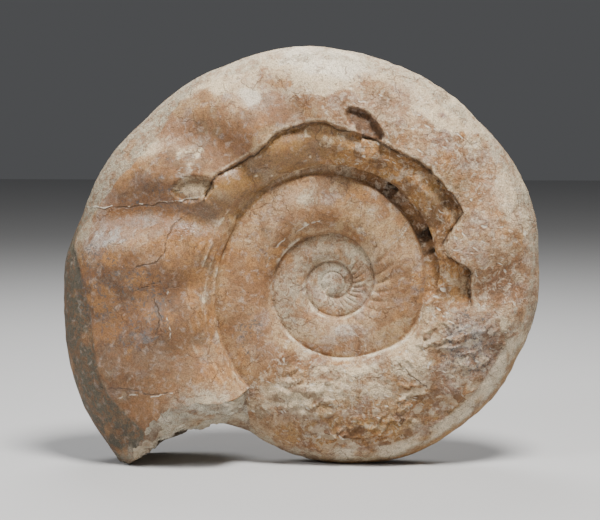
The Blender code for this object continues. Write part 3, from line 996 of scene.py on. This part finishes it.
def paint_stains(paint, at):
    paint.lay("orange", smooth_step(paint.field(0.060, 71) * 1.5 - 0.1) * 0.35)
    paint.lay("pink", smooth_step(paint.field(0.050, 74) * 1.5) * 0.35)
    paint.lay("lilac", smooth_step(paint.field(0.026, 77) * 1.6 - 0.35) * 0.35)
    for mineral, *box, tilt, strength in STAINS:
        x, z, half_width, half_height = (length / 1000 for length in box)
        stained = at.drifted_oval(x, z, half_width, half_height, tilt)
        paint.stain(mineral, at.front * stained * strength)
    paint.stain("cream", at.back * smooth_step(paint.field(0.055, 80) * 1.6 - 0.2) * 0.7)
    paint.stain("grey", at.back * smooth_step(paint.field(0.070, 83) * 1.8 - 0.3) * 0.7)
    paint.lay("tan", at.inner * smooth_step((at.angle + 520) / 300) * 0.25)
    paint.lay("grey", at.inner * smooth_step((-60 - at.angle) / 120) * 0.50)


def paint_patchwork(paint, at):
    """A fine patchwork over everything: rust and cream flakes, lilac films, dark specks, hairlines."""
    clean = 1 - 0.70 * smooth_step((paint.colour[:, 1] - 0.40) / 0.14)
    left = at.last_front * (1 - at.right)
    paint.patches("rust", (0.34 + 0.14 * at.inner + 0.08 * left) * clean, 0.60)
    paint.patches("orange", (0.38 + 0.02 * at.right) * clean, 0.55)
    paint.patches("cream", 0.18 + 0.14 * at.right, 0.55)
    paint.patches("lilac", (0.30 + 0.06 * at.right) * clean, 0.55)
    paint.patches("brown", (0.16 + 0.12 * at.last + 0.10 * left) * clean, 0.50)
    hairs = smooth_step((0.030 - np.abs(paint.field(0.020, 86, 4))) / 0.02)
    paint.lay("brown", hairs * smooth_step(paint.field(0.035, 90) * 2) * 0.55)
    hairs = smooth_step((0.026 - np.abs(paint.field(0.024, 93, 4))) / 0.02)
    paint.lay("white", hairs * smooth_step(paint.field(0.040, 97) * 2 - 0.3) * 0.5)


def paint_left_shade_and_patches(paint, at):
    """Painted shade darkens the polished left side about its middle and towards the mouth; orange and
    blue-grey patches lie over it.
    """
    # Painted shade: brown over the middle and the lower left of the left side.
    paint.lay("brown", at.last_front * at.oval(-0.195, -0.020, 0.065, 0.055) * 0.74)
    paint.lay("brown", at.last_front * at.oval(-0.175, -0.080, 0.070, 0.075, -25) * 0.42)
    paint.patches("orange", at.last_front * at.oval(-0.190, -0.020, 0.060, 0.060) * 0.52, 0.75)
    paint.patches("blue_grey", at.last_front * at.oval(-0.190, -0.030, 0.045, 0.030) * 0.50, 0.75)


def paint_rib_hollows(paint, at):
    """Shade and dirt in the hollows between the broad ribs."""
    hollow = np.clip(-broad_ribs(at.angle, at.share) / 0.009, 0, 1) * at.last
    paint.lay("brown", hollow * 0.55)
    paint.patches("rust", hollow * 0.75, 0.45)


def paint_venter(paint, at):
    """The bare band along the venter, its dark end, which is partly painted shade, and the pale rim below.
    """
    angle, share = at.angle, at.share
    venter = at.last * smooth_step((share - 0.84) / 0.10)
    paint.stain("grey", venter * 0.7)
    paint.lay("grey", at.bare * 0.80)
    # Painted shade in part: green_grey_and_shade darkens the bare band, the venter towards the mouth and
    # the tip.
    paint.lay("green_grey_and_shade", at.bare * smooth_step((angle - 515) / 22) * 0.90)
    paint.lay("green_grey_and_shade", venter * at.back * smooth_step((angle - 510) / 30) * 0.80)
    paint.lay("green_grey_and_shade", venter * smooth_step((angle - 562) / 14) * 0.90)
    tip = at.last * smooth_step((share - 0.70) / 0.10) * smooth_step((angle - 572) / 3)
    paint.lay("green_grey_and_shade", tip * 0.80)
    paint.lay("grey", tip * smooth_step((angle - 577.5) / 2) * smooth_step((share - 0.80) / 0.05) * 0.60)
    edge_streaks = np.sin(share * 260 + 3 * noise(at.places, 0.05, 101))
    paint.lay("brown", at.bare * smooth_step(edge_streaks * 1.5 - 0.9) * 0.35)
    paint.patches("orange", at.bare * 0.34, 0.5)

    from_below = at.last_front * smooth_step((angle - 262) / 16)
    rim = from_below * smooth_step((share - 0.80) / 0.035) * smooth_step((0.95 - share) / 0.03)
    rim = rim * smooth_step((352 - angle) / 14) * smooth_step(paint.field(0.020, 102) * 1.5 + 1.0)
    paint.lay("cream", rim * 0.60)
    paint.lay("white", rim * 0.40)
    outer_rim = from_below * smooth_step((share - 0.945) / 0.02)
    paint.lay("ochre", outer_rim * smooth_step((350 - angle) / 14) * 0.8)


def paint_mould(paint, at):
    """The exposed mould, and painted shadow along the foot of its outer edge."""
    places, angle, lost, tongue = at.places, at.angle, at.lost, at.tongue
    paint.lay("ochre", lost * 0.92)
    paint.lay("brown", lost * tongue * (0.25 + 0.30 * noise(places, 0.02, 105)))
    paint.lay("grey", lost * tongue * smooth_step(paint.field(0.018, 106) * 1.4) * 0.30)
    paint.lay("cream", lost * tongue * smooth_step((noise(places, 0.0045, 59) - 0.60) / 0.15) * 0.75)
    paint.patches("orange", lost * (1 - tongue) * 0.70, 0.6)
    paint.patches("cream", lost * (1 - tongue) * 0.28, 0.50)
    paint.patches("brown", lost * (1 - tongue) * 0.34, 0.6)

    # Painted shadow: brown along the foot of the crescent's outer edge, in the shade of its wall.
    off_edge = (crescent_edge(angle) + edge_wobble(places, angle) - at.radius) * within_crescent(angle)
    beside = at.last_front * (within_crescent(angle) > 0.3)
    uneven = 0.55 + 0.40 * noise(places, 0.012, 109)
    width = np.where(tongue > 0.5, 0.0008, 0.0020)
    painted_foot_shade = np.exp(-(((off_edge - 0.8 * width) / width) ** 2))
    paint.lay("brown", beside * painted_foot_shade * uneven * (1 - 0.5 * tongue))
    paint.lay("cream", beside * np.exp(-(((off_edge + 0.0022) / 0.0012) ** 2)) * 0.45)


def paint_crevice(paint, at):
    """Rust and red in the crevice along the mould, partly stain and partly painted shade, and painted black
    shadow where it runs on out of sight.
    """
    height = whorl_height(at.angle)
    own = at.share * height
    above = (next_seam_share(at.angle) - at.share) * height
    opened = np.clip(crevice_depth(at.angle) / 0.006, 0, 1)
    # Partly painted shade: red and rust along both sides of the crevice.
    paint.lay("red", at.last_front * np.exp(-((own / 0.0026) ** 2)) * opened * 0.70)
    opened = np.clip(crevice_depth(at.angle + TURN) / 0.006, 0, 1)
    paint.lay("rust", at.front * at.inner * np.exp(-((above / 0.0030) ** 2)) * opened * 0.8)
    # Painted shadow: the colour is darkened nearly to black in the deep gaps.
    gap = at.last_front * np.clip(black_gaps(at.angle, own) * 1.4, 0, 1)
    paint.colour = paint.colour * (1 - 0.94 * gap[:, None])


def paint_flakes(paint, at):
    """The upper flaked hollow is dark brown, the lower one ochre and cream, with painted shadow at the foot
    of each steep wall.
    """
    between = (FLAKES[0][0] + FLAKES[1][0]) / 2
    upper = at.angle < between
    lower = at.angle > between
    paint.lay("rust", at.flaked * 0.90 * upper)
    paint.lay("brown", at.flaked * 0.92 * upper)
    paint.stain("ochre", at.flaked * lower)
    paint.patches("cream", at.flaked * lower * 0.75, 0.6)
    # Painted shadow at the foot of each steep wall.
    paint.lay("brown", at.flaked * at.flake_wall_shadow * np.where(upper, 0.65, 0.45))


def paint_seams(paint, at):
    """Calcite along the seams, painted shade in the inner seams strongest at their upper right, and streaks
    on the shoulder near the mouth.
    """
    angle, share = at.angle, at.share
    line = np.clip(calcite_line(at.places, angle, share, at.side), 0, 1) * ~at.mouth
    paint.lay("cream", line * 0.70)
    paint.lay("white", line * (1 - at.tongue * at.last) * 0.75)
    # Painted shade: brown in the inner seams, strongest at the upper right, where the step between whorls
    # is in shade.
    painted_seam_shade = np.exp(-(((share * whorl_height(angle) - 0.0004) / 0.0012) ** 2))
    painted_seam_shade = painted_seam_shade * (0.5 + 0.5 * np.cos(np.radians(angle - 40))) ** 2
    paint.lay("brown", at.inner * painted_seam_shade * 0.8)
    shoulder = at.last_front * smooth_step((0.18 - share) / 0.06) * smooth_step((angle - 505) / 12)
    ridges = seam_ridges(at.places, share)
    broken = calcite_places(at.places)
    paint.lay("cream", shoulder * smooth_step(ridges * 1.6 - 0.9) * broken * 0.55)
    paint.lay("brown", shoulder * smooth_step(-ridges * 1.6 - 0.8) * broken * 0.35)
    paint.patches("orange", shoulder * 0.6, 0.6)


def paint_ledges(paint, ledges):
    """The lower part's ragged calcite ledges: pale lips, with painted shade on their dark undersides."""
    height = shingle(paint.places)
    uneven = smooth_step(paint.field(0.016, 110) * 1.4 + 0.3)
    paint.lay("cream", ledges * smooth_step((height - 0.52) / 0.2) * uneven * 0.85)
    # Painted shade: brown at the foot of each ledge, under its lip.
    paint.lay("brown", ledges * smooth_step((0.06 - height) / 0.05) * uneven * 0.25)


def paint_mouth(paint, at):
    paint.lay("rock", at.mouth * 0.95)
    paint.lay("grey", at.mouth * smooth_step(paint.field(0.020, 112) * 1.5) * 0.5)
    paint.lay("ochre", at.mouth * smooth_step(paint.field(0.026, 115) * 1.6 - 0.5) * 0.5)
    paint.lay("white", at.mouth * smooth_step(paint.field(0.009, 118) * 1.6 - 0.6) * 0.7)
    paint.lay("brown", at.mouth * smooth_step(paint.field(0.012, 121) * 1.6 - 0.8) * 0.6)


def stone_of(places, angle, share, side):
    """The stone at each sample: its colour, and how rough, glossy, flecked and chiselled it is."""
    at = Samples(places, angle, share, side)
    paint = Paint(at, "tan")
    paint_stains(paint, at)
    paint_patchwork(paint, at)
    paint_left_shade_and_patches(paint, at)
    paint_rib_hollows(paint, at)
    paint_venter(paint, at)
    paint_mould(paint, at)
    paint_crevice(paint, at)
    paint_flakes(paint, at)
    paint_seams(paint, at)
    ledges = at.lower * smooth_step((0.88 - share) / 0.10) * smooth_step((share - 0.05) / 0.1)
    paint_ledges(paint, ledges)
    paint_mouth(paint, at)

    smooth_mould = at.lost * at.tongue
    rough = 0.20 + 0.4 * at.bare + 0.15 * at.lost * (1 - at.tongue) - 0.2 * smooth_mould + 0.8 * at.mouth
    rough = np.clip(rough + 0.35 * at.right + 0.35 * ledges + 0.3 * at.back, 0, 1)
    polished = at.oval(-0.205, 0.040, 0.060, 0.035, 10) + at.oval(-0.160, 0.050, 0.060, 0.030, 10)
    gloss = np.clip(0.30 + 0.7 * at.front * polished + 0.45 * smooth_mould - 0.3 * rough, 0, 1)
    flecks = np.full(len(angle), 0.12)
    for place in FLECKS:
        flecks = np.maximum(flecks, at.front * at.drifted_oval(*place))
    strokes = 0.10 + 0.12 * at.inner + 0.90 * at.right - 0.6 * at.bare - smooth_mould
    strokes = strokes - 0.5 * at.mouth - 0.9 * at.flaked - 0.6 * at.last * (share > 0.8)
    qualities = {"rough": rough, "gloss": gloss, "flecks": flecks, "strokes": np.clip(strokes, 0, 1)}
    return np.clip(paint.colour, 0, 1), qualities


# ---------------------------------------------------------------- the flat map that an export bakes on

DEVELOPED_RADIUS = 0.395
# On the map: centre and radius of both discs, and the mouth's left, bottom, width and height.
FRONT_DISC = (0.368, 0.368, 0.365)
BACK_DISC = (0.788, 0.788, 0.208)
MOUTH_PATCH = (0.03, 0.77, 0.30, 0.20)
ARC_STEPS = 60
ARC_RING_STEP = 8


def developed_seams(side):
    """How far out along the surface each ring's seam lies."""
    angles, shares = side_grids(side)[:2]
    radius, thickness = section(angles, shares)
    across = np.hypot(np.diff(radius, axis=1), np.diff(thickness, axis=1)).sum(axis=1)
    seams = np.zeros(len(angles))
    seams[:RINGS_PER_TURN] = radius[:RINGS_PER_TURN, 0]
    for i in range(RINGS_PER_TURN, len(angles)):
        seams[i] = seams[i - RINGS_PER_TURN] + across[i - RINGS_PER_TURN]
    return angles[:, 0], seams


def map_places(angle, share, side):
    """Each sample's place on the map: two discs, front and back, and a patch for the broken mouth."""
    result = np.zeros((len(angle), 2))
    steps = np.linspace(0, 1, ARC_STEPS)
    for which, (cx, cy, size) in ((-1, FRONT_DISC), (1, BACK_DISC)):
        angles, seams = developed_seams(which)
        rings = angles[::ARC_RING_STEP]
        radius, thickness = section(rings[:, None], steps[None, :])
        arcs = np.hypot(np.diff(radius, axis=1), np.diff(thickness, axis=1))
        arcs = np.concatenate([np.zeros((len(arcs), 1)), np.cumsum(arcs, axis=1)], axis=1)
        chosen = side == which
        place = np.interp(angle[chosen], rings, np.arange(len(rings)))
        low = np.floor(place).astype(int)
        high = np.minimum(low + 1, len(arcs) - 1)
        column = share[chosen] * (len(steps) - 1)
        left = np.clip(np.floor(column).astype(int), 0, len(steps) - 2)
        part, rest = place - low, column - left
        before = arcs[low, left] * (1 - rest) + arcs[low, left + 1] * rest
        after = arcs[high, left] * (1 - rest) + arcs[high, left + 1] * rest
        out = before * (1 - part) + after * part + np.interp(angle[chosen], angles, seams)
        turned = np.radians(angle[chosen])
        result[chosen, 0] = cx + size * out / DEVELOPED_RADIUS * np.cos(turned)
        result[chosen, 1] = cy + size * out / DEVELOPED_RADIUS * np.sin(turned)
    mouth = side == 0
    left, bottom, width, height = MOUTH_PATCH
    result[mouth, 0] = left + width * angle[mouth]
    result[mouth, 1] = bottom + height * share[mouth]
    return result


# ---------------------------------------------------------------- from arrays to a Blender object


def mesh_from(points, vertex, faces):
    mesh = bpy.data.meshes.new("ammonite_stone")
    loops = np.concatenate([rows.ravel() for rows in faces])
    sizes = np.concatenate([np.full(len(rows), rows.shape[1]) for rows in faces])
    starts = np.concatenate([[0], np.cumsum(sizes)[:-1]])
    mesh.vertices.add(len(points))
    mesh.vertices.foreach_set("co", points.astype(np.float32).ravel())
    mesh.loops.add(len(loops))
    mesh.loops.foreach_set("vertex_index", vertex[loops].astype(np.int32))
    mesh.polygons.add(len(sizes))
    mesh.polygons.foreach_set("loop_start", starts.astype(np.int32))
    mesh.update(calc_edges=True)
    mesh.polygons.foreach_set("use_smooth", np.ones(len(sizes), bool))
    return mesh, loops


def add_edge_shadow_line(qualities, places, angle, side):
    """Runs a dark line of painted shadow, drawn as one of the cracks, along the foot of the lost crescent's
    outer edge.
    """
    radius = np.hypot(places[:, 0], places[:, 2])
    off_edge = crescent_edge(angle) + edge_wobble(places, angle) - radius - 0.0009
    closer = (side < 0) & on_last_whorl(angle) & (within_crescent(angle) > 0.3)
    closer = closer & (np.abs(off_edge) < np.abs(qualities["crack_distance"]))
    qualities["crack_distance"] = np.where(closer, off_edge, qualities["crack_distance"])
    qualities["crack_present"] = np.where(closer, 1.0, qualities["crack_present"])


def make_fossil(low, high):
    shell = Shell()
    front = build_side(shell, -1)
    back = build_side(shell, 1, venter=front[1][:, -1])
    close_mouth(shell, front, back)
    points = shell.all_points()
    across = (low[0] + high[0] - points[:, 0].max() - points[:, 0].min()) / 2
    stood = points + np.array([across, 0.0, FLOOR_BELOW_CENTRE])
    stood[:, 2] = np.maximum(stood[:, 2], 0)
    samples = np.concatenate(shell.samples)
    vertex = samples[:, 0].astype(int)
    angle, share, side = samples[:, 1:].T
    mesh, loops = mesh_from(stood, vertex, shell.faces)

    places = points[vertex]
    colour, qualities = stone_of(places, angle, share, side)
    wiggle = np.stack([rough_noise(places, 0.009, seed, 2) for seed in (131, 133)]) * 0.0016
    for name, lines in (("crack", CRACKS), ("vein", VEINS)):
        distance, present = signed_distance(places[:, 0] + wiggle[0], places[:, 2] + wiggle[1], lines)
        qualities[name + "_distance"] = distance
        qualities[name + "_present"] = present * (side < 0)
    add_edge_shadow_line(qualities, places, angle, side)
    rgba = np.concatenate([colour, np.ones((len(colour), 1))], axis=1).astype(np.float32)
    layer = mesh.attributes.new("stone_tint", "FLOAT_COLOR", "CORNER")
    layer.data.foreach_set("color", rgba[loops].ravel())
    for name, values in qualities.items():
        layer = mesh.attributes.new(name, "FLOAT", "CORNER")
        layer.data.foreach_set("value", values[loops].astype(np.float32))
    layer = mesh.uv_layers.new(name="OFBake", do_init=False)
    layer.uv.foreach_set("vector", map_places(angle, share, side)[loops].astype(np.float32).ravel())
    fossil = bpy.data.objects.new("ammonite_stone", mesh)
    bpy.context.scene.collection.objects.link(fossil)
    mesh.materials.append(stone_material())
    return fossil


# ---------------------------------------------------------------- the stone


class Nodes:
    """Short calls for building a material's node tree."""

    def __init__(self, material):
        material.use_nodes = True
        self.tree = material.node_tree
        self.shader = self.tree.nodes["Principled BSDF"]

    def new(self, kind, inputs=None, **settings):
        node = self.tree.nodes.new(kind)
        for name, value in settings.items():
            setattr(node, name, value)
        for name, value in (inputs or {}).items():
            self.put(node.inputs[name], value)
        return node

    def put(self, socket, value):
        if isinstance(value, bpy.types.NodeSocket):
            self.tree.links.new(value, socket)
        else:
            socket.default_value = value

    def attribute(self, name, output="Fac"):
        return self.new("ShaderNodeAttribute", attribute_name=name).outputs[output]

    def maths(self, operation, a, b=0.0):
        return self.new("ShaderNodeMath", {0: a, 1: b}, operation=operation).outputs[0]

    def times(self, a, b):
        return self.maths("MULTIPLY", a, b)

    def channel(self, colour, index):
        return self.new("ShaderNodeSeparateColor", {0: colour}).outputs[index]

    def pushed(self, place, scale, detail, reach):
        """The place moved about by noise, by up to the reach."""
        inputs = {"Vector": place, "Scale": scale, "Detail": detail}
        push = self.new("ShaderNodeTexNoise", inputs).outputs["Color"]
        push = self.new("ShaderNodeVectorMath", {0: push, 1: (reach,) * 3}, operation="MULTIPLY")
        return self.new("ShaderNodeVectorMath", {0: place, 1: push.outputs[0]}, operation="ADD").outputs[0]

    def band(self, value, low, high, out_low=0.0, out_high=1.0):
        """Maps low to high onto out_low to out_high, held level beyond."""
        inputs = {"Value": value, "From Min": low, "From Max": high, "To Min": out_low, "To Max": out_high}
        return self.new("ShaderNodeMapRange", inputs, interpolation_type="SMOOTHSTEP").outputs["Result"]

    def noise(self, place, scale, detail=3.0, distortion=0.0):
        inputs = {"Vector": place, "Scale": scale, "Detail": detail, "Distortion": distortion}
        return self.new("ShaderNodeTexNoise", inputs).outputs["Fac"]

    def mix(self, amount, a, b, blend="MIX"):
        node = self.new("ShaderNodeMix", data_type="RGBA", blend_type=blend)
        for socket, value in ((node.inputs[0], amount), (node.inputs[6], a), (node.inputs[7], b)):
            self.put(socket, value)
        return node.outputs[2]


# Films and marks finer than the painting.
PALE_FILM = (0.70, 0.58, 0.41, 1)
RUST_CLOUD = (0.24, 0.125, 0.055, 1)
LILAC_CLOUD = (0.44, 0.36, 0.31, 1)
RUST_FILM = (0.25, 0.110, 0.042, 1)
CREAM_FILM = (0.72, 0.60, 0.43, 1)
FLECK_COLOUR = (0.105, 0.095, 0.09, 1)
PIT_COLOUR = (0.11, 0.065, 0.04, 1)
HAIR_COLOUR = (0.12, 0.060, 0.030, 1)
SCALE_LIP_COLOUR = (0.66, 0.54, 0.37, 1)
# Painted shade on the lowest scales.
SCALE_FOOT_SHADE_COLOUR = (0.17, 0.085, 0.040, 1)
STROKE_COLOUR = (0.74, 0.67, 0.55, 1)
CRACK_AND_EDGE_SHADOW_COLOUR = (0.10, 0.06, 0.035, 1)
VEIN_COLOUR = (0.76, 0.70, 0.58, 1)

HAIR_PLATES_PER_METRE = 52.0
SCALES_PER_METRE = (85.0, 85.0, 150.0)
STROKE_SIZE = (0.0090, 0.008, 0.0032)
STROKE_TILT = math.radians(32)
CRACK_HALF_WIDTH = 0.0009
VEIN_HALF_WIDTH = 0.0009
LINE_SHARPNESS = 0.0003
BUMP_STRENGTH = 0.85
BUMP_HEIGHT = 0.0011


def lay_films(n, place, colour, strokes, mottle):
    """Cloudy and crisp films of other minerals. Stone that is already pale takes less of the dark ones."""
    stainable = n.band(n.channel(colour, 1), 0.34, 0.58, 1.0, 0.30)
    pale = n.times(n.band(mottle, 0.50, 0.66), n.band(strokes, 0.0, 1.0, 0.05, 0.30))
    colour = n.mix(pale, colour, PALE_FILM)
    cloud = n.times(n.band(n.noise(place, 90.0, 3.0, 0.3), 0.50, 0.64, 0.0, 0.50), stainable)
    colour = n.mix(cloud, colour, RUST_CLOUD)
    cloud = n.band(n.noise(place, 150.0, 4.0, 0.5), 0.54, 0.70, 0.0, 0.35)
    colour = n.mix(cloud, colour, LILAC_CLOUD)
    film = n.times(n.band(n.noise(place, 170.0, 6.0, 0.9), 0.525, 0.565, 0.0, 0.45), stainable)
    colour = n.mix(film, colour, RUST_FILM)
    film = n.band(n.noise(place, 150.0, 6.0, 0.8), 0.56, 0.60)
    film = n.times(film, n.band(strokes, 0.0, 1.0, 0.04, 0.30))
    return n.mix(film, colour, CREAM_FILM)


def lay_grain(n, place, colour, grain, flecks):
    """The stone's grain, its dark flecks and its pits. Returns the colour and the pits."""
    shade = n.band(grain, 0.30, 0.70, 0.66, 1.20)
    shade = n.new("ShaderNodeCombineColor", {0: shade, 1: shade, 2: shade}).outputs[0]
    colour = n.mix(1.0, colour, shade, "MULTIPLY")
    fleck = n.times(n.band(n.noise(place, 330.0, 4.0, 0.6), 0.56, 0.63), n.band(flecks, 0.1, 0.8))
    colour = n.mix(n.times(fleck, 0.80), colour, FLECK_COLOUR)
    pit = n.band(n.noise(place, 560.0, 2.0), 0.63, 0.69)
    return n.mix(n.times(pit, 0.60), colour, PIT_COLOUR), pit


def lay_hairs(n, place, colour):
    """Hairline cracks round plates of about 2 cm, here and there. Returns the colour and the hairs."""
    bent = n.pushed(place, 110.0, 3.0, 0.012)
    inputs = {"Vector": bent, "Scale": HAIR_PLATES_PER_METRE}
    plates = n.new("ShaderNodeTexVoronoi", inputs, feature="DISTANCE_TO_EDGE")
    hair = n.band(plates.outputs["Distance"], 0.030, 0.008)
    hair = n.times(hair, n.band(n.noise(place, 38.0, 2.0), 0.50, 0.60))
    return n.mix(n.times(hair, 0.55), colour, HAIR_COLOUR), hair


def lay_scales(n, place, colour, rough):
    """Torn scales where the stone is rough, some pale, the lowest darkened as painted shade. Returns the
    colour and their height.
    """
    torn = n.pushed(place, 160.0, 5.0, 0.010)
    torn = n.new("ShaderNodeMapping", {"Vector": torn, "Scale": SCALES_PER_METRE}).outputs["Vector"]
    scales = n.new("ShaderNodeTexVoronoi", {"Vector": torn, "Scale": 1.0})
    step = n.channel(scales.outputs["Color"], 0)
    gathered = n.band(n.noise(place, 30.0, 2.0), 0.42, 0.56, 0.15, 1.0)
    scaly = n.times(n.band(rough, 0.58, 0.90), gathered)
    lip = n.times(n.times(n.band(step, 0.72, 0.80), scaly), 0.45)
    colour = n.mix(lip, colour, SCALE_LIP_COLOUR)
    # Painted shade: the lowest scales are darkened.
    painted_foot_shade = n.times(n.times(n.band(step, 0.26, 0.18), scaly), 0.60)
    return n.mix(painted_foot_shade, colour, SCALE_FOOT_SHADE_COLOUR), n.times(step, scaly)


def lay_strokes(n, place, colour, strokes):
    """Short pale strokes of a preparator's air pen. Returns the colour and the strokes."""
    inputs = {
        "Vector": n.pushed(place, 45.0, 2.0, 0.024),
        "Rotation": (0.0, STROKE_TILT, 0.0),
        "Scale": STROKE_SIZE,
    }
    stroke_place = n.new("ShaderNodeMapping", inputs, vector_type="TEXTURE").outputs["Vector"]
    cells = n.new("ShaderNodeTexVoronoi", {"Vector": stroke_place, "Scale": 1.0, "Randomness": 1.0})
    near = n.band(cells.outputs["Distance"], 0.34, 0.20)
    chosen = n.band(n.channel(cells.outputs["Color"], 0), 0.55, 0.60)
    stroke = n.times(n.times(near, chosen), strokes)
    stroke = n.times(stroke, n.band(n.noise(place, 70.0, 3.0), 0.42, 0.58))
    return n.mix(n.times(stroke, 0.75), colour, STROKE_COLOUR), stroke


def line_mark(n, name, half_width, wobble):
    """1 on the lines whose distance and presence the mesh holds under this name."""
    off_line = n.maths("ABSOLUTE", n.maths("ADD", n.attribute(name + "_distance"), wobble))
    return n.times(n.band(off_line, half_width, LINE_SHARPNESS), n.attribute(name + "_present"))


def lay_lines(n, place, colour):
    """The dark cracks, with the painted shadow line along the crescent's edge, and the pale calcite veins.
    Returns the colour, the cracks and the veins.
    """
    wobble = n.times(n.maths("SUBTRACT", n.noise(place, 260.0, 4.0), 0.5), 0.0030)
    crack = line_mark(n, "crack", CRACK_HALF_WIDTH, wobble)
    crack = n.times(crack, n.band(n.noise(place, 120.0, 3.0), 0.36, 0.52, 0.2, 1.0))
    # Dark cracks, and painted shadow along the foot of the crescent's edge.
    colour = n.mix(n.times(crack, 0.75), colour, CRACK_AND_EDGE_SHADOW_COLOUR)
    vein = line_mark(n, "vein", VEIN_HALF_WIDTH, wobble)
    vein = n.times(vein, n.band(n.noise(place, 130.0, 4.0), 0.47, 0.56))
    return n.mix(n.times(vein, 0.60), colour, VEIN_COLOUR), crack, vein


def stone_material():
    material = bpy.data.materials.new("fossil_stone_fine")
    n = Nodes(material)
    place = n.new("ShaderNodeTexCoord").outputs["Object"]
    rough, gloss = n.attribute("rough"), n.attribute("gloss")
    flecks, strokes = n.attribute("flecks"), n.attribute("strokes")
    grain = n.noise(place, 900.0, 4.0)
    mottle = n.noise(place, 240.0, 4.0, 0.4)

    colour = lay_films(n, place, n.attribute("stone_tint", "Color"), strokes, mottle)
    colour, pit = lay_grain(n, place, colour, grain, flecks)
    colour, hair = lay_hairs(n, place, colour)
    colour, scale = lay_scales(n, place, colour, rough)
    colour, stroke = lay_strokes(n, place, colour, strokes)
    colour, crack, vein = lay_lines(n, place, colour)

    height = n.times(n.maths("SUBTRACT", grain, 0.5), n.band(rough, 0.0, 1.0, 0.25, 1.0))
    lumps = n.maths("SUBTRACT", n.noise(place, 260.0, 5.0), 0.5)
    height = n.maths("ADD", height, n.times(lumps, n.band(rough, 0.1, 1.0, 0.35, 3.2)))
    marks = (scale, 1.0), (pit, -0.35), (hair, -0.40), (stroke, -0.45), (crack, -1.2), (vein, 0.2)
    for mark, rise in marks:
        height = n.maths("ADD", height, n.times(mark, rise))
    inputs = {"Strength": BUMP_STRENGTH, "Distance": BUMP_HEIGHT, "Height": height}
    bump = n.new("ShaderNodeBump", inputs)

    sheen = n.maths("ADD", n.band(gloss, 0.0, 1.0, 0.72, 0.27), n.times(mottle, 0.10))
    n.put(n.shader.inputs["Base Color"], colour)
    n.put(n.shader.inputs["Roughness"], sheen)
    n.put(n.shader.inputs["Normal"], bump.outputs["Normal"])
    return material


# ---------------------------------------------------------------- the set


FLOOR_SIZE = 12
FLOOR_DROP = 0.0003
FLOOR_COLOUR = (0.52, 0.52, 0.52, 1)
FLOOR_ROUGHNESS = 0.9
# Each light's name, place, width, power and colour.
LIGHTS = [
    ("key", (0.35, -0.70, 1.95), 0.6, 78, (1.0, 0.98, 0.95)),
    ("upper_left", (-1.05, -1.00, 1.25), 0.5, 11, (0.97, 0.98, 1.0)),
    ("back_top", (-0.2, 1.0, 1.5), 1.0, 18, (1.0, 1.0, 1.0)),
]
SKY_COLOUR = (0.88, 0.90, 0.94, 1)
SKY_STRENGTH = 0.09
CAMERA_AWAY = 1.75
CAMERA_AZIMUTH = 3.0
CAMERA_ELEVATION = 5.0
CAMERA_TARGET_DROP = 0.0035
FRAME_WIDTH = 36.0
FOSSIL_PART_OF_FRAME = 0.795


def make_floor():
    bpy.ops.mesh.primitive_plane_add(size=FLOOR_SIZE, location=(0, 0, -FLOOR_DROP))
    floor = bpy.context.object
    floor.name = "floor"
    material = bpy.data.materials.new("pale_floor")
    material.use_nodes = True
    shader = material.node_tree.nodes["Principled BSDF"]
    shader.inputs["Base Color"].default_value = FLOOR_COLOUR
    shader.inputs["Roughness"].default_value = FLOOR_ROUGHNESS
    floor.data.materials.append(material)


def aim(obj, place, target):
    direction = np.array(target) - np.array(place)
    flat = math.hypot(direction[0], direction[1])
    obj.location = place
    obj.rotation_euler = (math.atan2(flat, -direction[2]), 0, math.atan2(-direction[0], direction[1]))


def add_light(name, place, target, size, power, colour):
    light = bpy.data.lights.new(name, "AREA")
    light.shape = "DISK"
    light.size = size
    light.energy = power
    light.color = colour
    lamp = bpy.data.objects.new(name, light)
    bpy.context.scene.collection.objects.link(lamp)
    aim(lamp, place, target)


def make_lights(middle):
    for name, place, size, power, colour in LIGHTS:
        add_light(name, place, middle, size, power, colour)
    world = bpy.data.worlds.new("studio")
    world.use_nodes = True
    background = world.node_tree.nodes["Background"]
    background.inputs["Color"].default_value = SKY_COLOUR
    background.inputs["Strength"].default_value = SKY_STRENGTH
    bpy.context.scene.world = world


def make_camera(low, high):
    middle = np.array([(low[0] + high[0]) / 2, 0.0, (low[2] + high[2]) / 2 - CAMERA_TARGET_DROP])
    azimuth, elevation = math.radians(CAMERA_AZIMUTH), math.radians(CAMERA_ELEVATION)
    away = np.array([math.sin(azimuth), -math.cos(azimuth), 0]) * math.cos(elevation)
    away[2] = math.sin(elevation)
    camera = bpy.data.cameras.new("camera")
    camera.sensor_width = FRAME_WIDTH
    camera.lens = FRAME_WIDTH * FOSSIL_PART_OF_FRAME * CAMERA_AWAY / (high[0] - low[0])
    viewer = bpy.data.objects.new("camera", camera)
    bpy.context.scene.collection.objects.link(viewer)
    aim(viewer, middle + away * CAMERA_AWAY, middle)
    bpy.context.scene.camera = viewer
    return middle


def main():
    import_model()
    cad_low, cad_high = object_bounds()
    middle = make_camera(cad_low, cad_high)
    fossil = make_fossil(cad_low, cad_high)
    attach(fossil, "root")
    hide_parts("ammonite_fossil")
    make_floor()
    make_lights(middle)


main()
